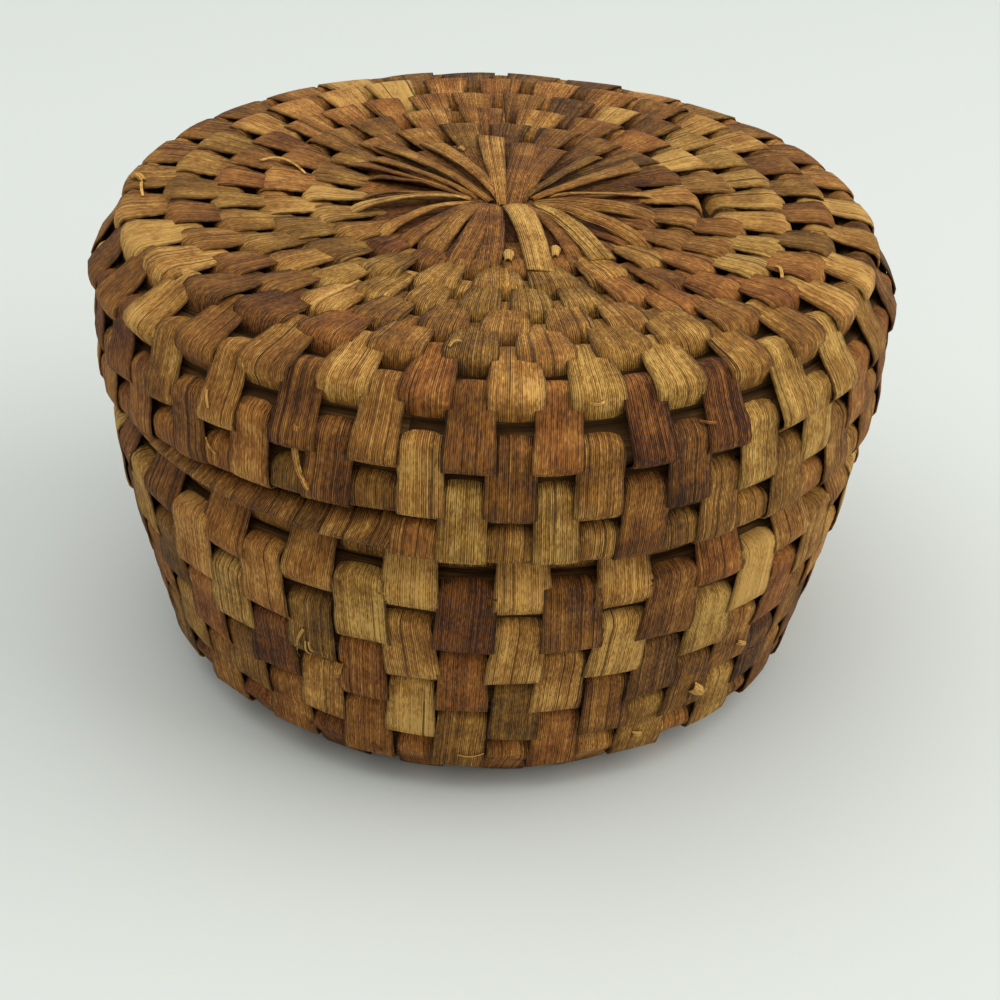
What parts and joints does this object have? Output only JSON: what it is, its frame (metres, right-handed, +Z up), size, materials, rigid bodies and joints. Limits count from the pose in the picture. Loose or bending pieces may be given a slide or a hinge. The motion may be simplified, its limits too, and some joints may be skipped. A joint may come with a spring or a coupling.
{
  "type": "woven storage box with lid",
  "caption": "Round lidded storage basket of coiled cane bound with brown leaf strips, with a flat star-centred lid that lifts off.",
  "frame": {"origin": "on the floor under the middle of the base", "axes": "+Z up out of the base and along the lid's lift, front to -Y"},
  "size_m": [0.151, 0.151, 0.0912],
  "materials": {
    "cane": "dry pale cane, fibrous, matt",
    "leaf_strip": "dried leaf strips in mixed browns, lengthwise fibres, low sheen"
  },
  "bodies": {
    "base": {"collar_cane_1": "cane", "collar_cane_2": "cane", "collar_strips_1": "leaf_strip", "collar_strips_2": "leaf_strip", "floor_cane": "cane", "floor_star": "leaf_strip", "floor_strips_1": "leaf_strip", "floor_strips_2": "leaf_strip", "floor_strips_3": "leaf_strip", "floor_strips_4": "leaf_strip", "rim_strips_1": "leaf_strip", "wall_cane_1": "cane", "wall_cane_2": "cane", "wall_cane_3": "cane", "wall_cane_4": "cane", "wall_cane_5": "cane", "wall_cane_6": "cane", "wall_cane_7": "cane", "wall_strips_1": "leaf_strip", "wall_strips_2": "leaf_strip", "wall_strips_3": "leaf_strip", "wall_strips_4": "leaf_strip", "wall_strips_5": "leaf_strip", "wall_strips_6": "leaf_strip"},
    "lid": {"lid_cane_tail": "cane", "lid_side_cane_1": "cane", "lid_side_cane_2": "cane", "lid_side_cane_3": "cane", "lid_side_cane_4": "cane", "lid_side_cane_5": "cane", "lid_side_strips_1": "leaf_strip", "lid_side_strips_2": "leaf_strip", "lid_side_strips_3": "leaf_strip", "lid_side_strips_4": "leaf_strip", "lid_star": "leaf_strip", "lid_top_cane": "cane", "lid_top_strips_1": "leaf_strip", "lid_top_strips_2": "leaf_strip", "lid_top_strips_3": "leaf_strip", "lid_top_strips_4": "leaf_strip", "lid_top_strips_5": "leaf_strip"}
  },
  "joints": [
    {"name": "lid_lift", "type": "slide", "parent": "base", "child": "lid", "axis": [0, 0, 1], "range_m": [0, 0.08]}
  ]
}
